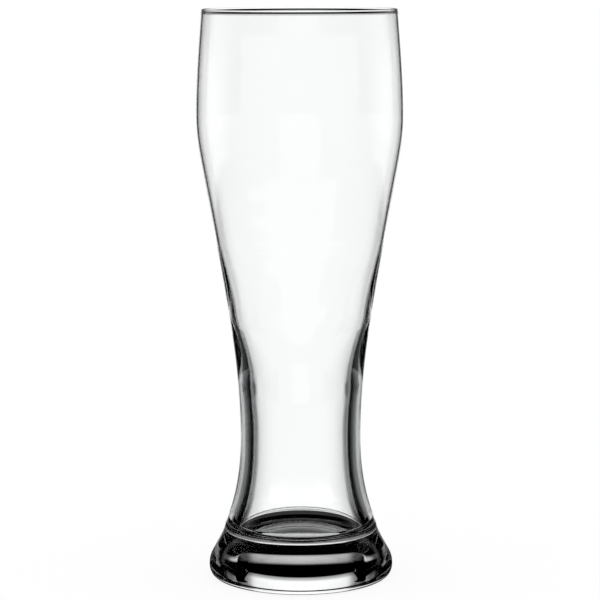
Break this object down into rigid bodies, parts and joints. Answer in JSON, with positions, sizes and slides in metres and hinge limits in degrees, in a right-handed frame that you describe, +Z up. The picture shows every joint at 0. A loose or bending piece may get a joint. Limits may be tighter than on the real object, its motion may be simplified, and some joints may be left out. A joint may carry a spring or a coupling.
{
  "type": "weizen glass",
  "caption": "Tall clear wheat beer glass with a narrow waist, a wide top, a melted rim and a heavy solid foot.",
  "frame": {"origin": "centre of the ring that the glass stands on, at the height of the table", "axes": "+Z up along the axis of the glass, towards the rim; X and Y are alike, because the glass is round"},
  "size_m": [0.082, 0.082, 0.2266],
  "materials": {
    "bowl": "clear, fire polished",
    "foot": "clear, fire polished"
  },
  "bodies": {
    "root": {"bowl": "bowl", "foot": "foot"}
  },
  "joints": []
}
